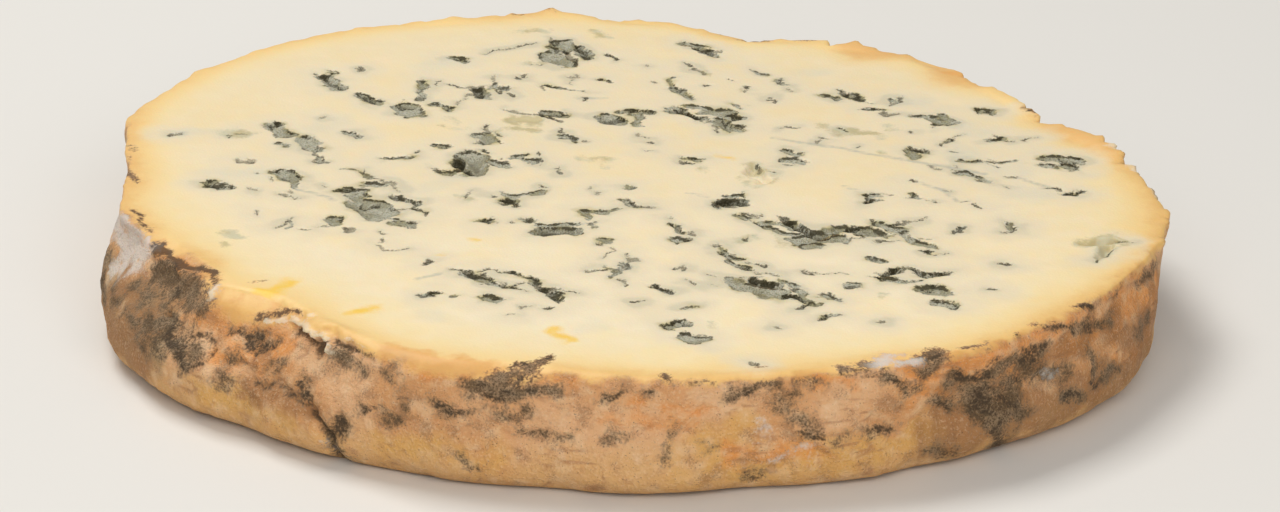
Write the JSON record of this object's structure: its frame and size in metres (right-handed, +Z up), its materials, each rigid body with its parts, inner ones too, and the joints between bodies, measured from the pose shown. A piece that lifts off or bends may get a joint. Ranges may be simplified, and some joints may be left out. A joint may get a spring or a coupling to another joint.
{
  "type": "round slice of blue cheese",
  "caption": "Low round slice cut from the end of a drum-shaped blue cheese, with a creamy cut face veined and pitted with blue mould and a lumpy, mould-spotted rind wall.",
  "frame": {"origin": "middle of the slice's outline, on the flat underside", "axes": "+Z up through the cut face, -Y towards the front of the slice, +X to the viewer's right"},
  "size_m": [0.1314, 0.1346, 0.0156],
  "materials": {
    "cheese": "moist, slightly glossy cream paste with blue-green mould, and a dry matt rind"
  },
  "bodies": {
    "root": {"cheese": "cheese"}
  },
  "joints": []
}
